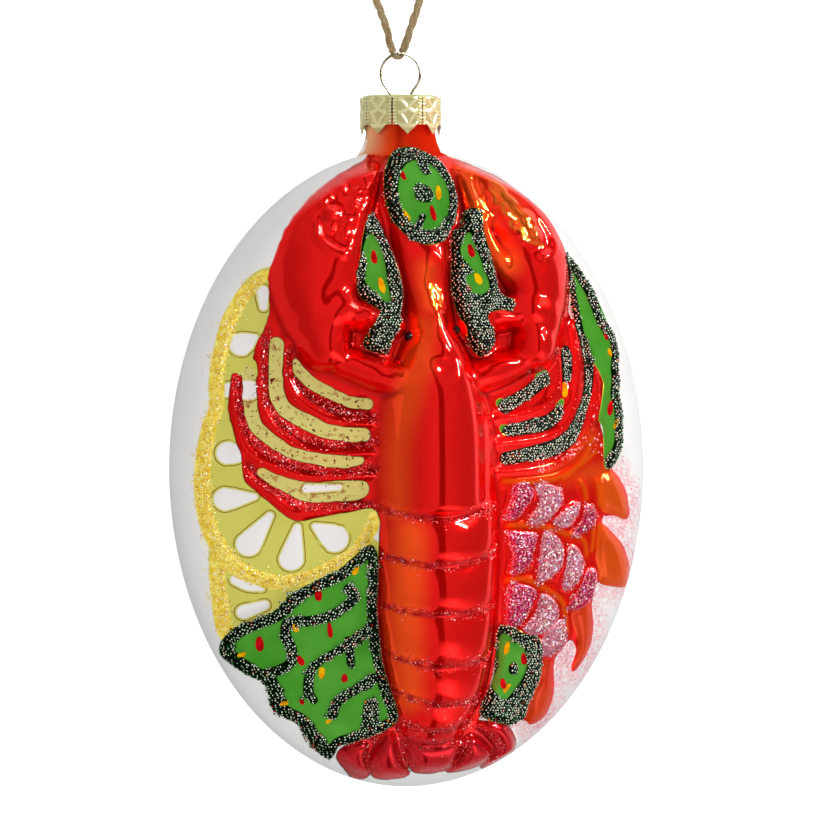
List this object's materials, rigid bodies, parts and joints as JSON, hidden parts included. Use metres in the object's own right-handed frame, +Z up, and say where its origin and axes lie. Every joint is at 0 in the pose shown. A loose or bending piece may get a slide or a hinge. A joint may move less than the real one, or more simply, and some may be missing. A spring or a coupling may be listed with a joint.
{
  "type": "glass lobster platter ornament",
  "caption": "Blown-glass hanging ornament: an oval platter with a cooked lobster, lemon slices, herbs and shrimps in relief, with a crown cap, wire ring and twine loop.",
  "frame": {"origin": "middle of the small flat rest spot on the platter's back, as the ornament lies with the lobster up", "axes": "+X to the lobster's right as seen from above with the cap at the top, +Y along the platter to the cap, +Z up, out of the lobster's back"},
  "size_m": [0.09, 0.1926, 0.0422],
  "materials": {
    "painted_glass": "glossy red, orange, green, yellow and white lacquer over silvered glass, with glitter and glass beads",
    "cap_metal": "pale gold, embossed sheet metal",
    "wire": "bright drawn wire with a pale gold cast",
    "jute": "twisted natural jute twine with loose fibres"
  },
  "bodies": {
    "root": {"glass_body": "painted_glass", "cap": "cap_metal", "hanger_loop": "wire", "twine_bight": "jute", "twine_left": "jute", "twine_right": "jute", "twine_knot": "jute"}
  },
  "joints": []
}
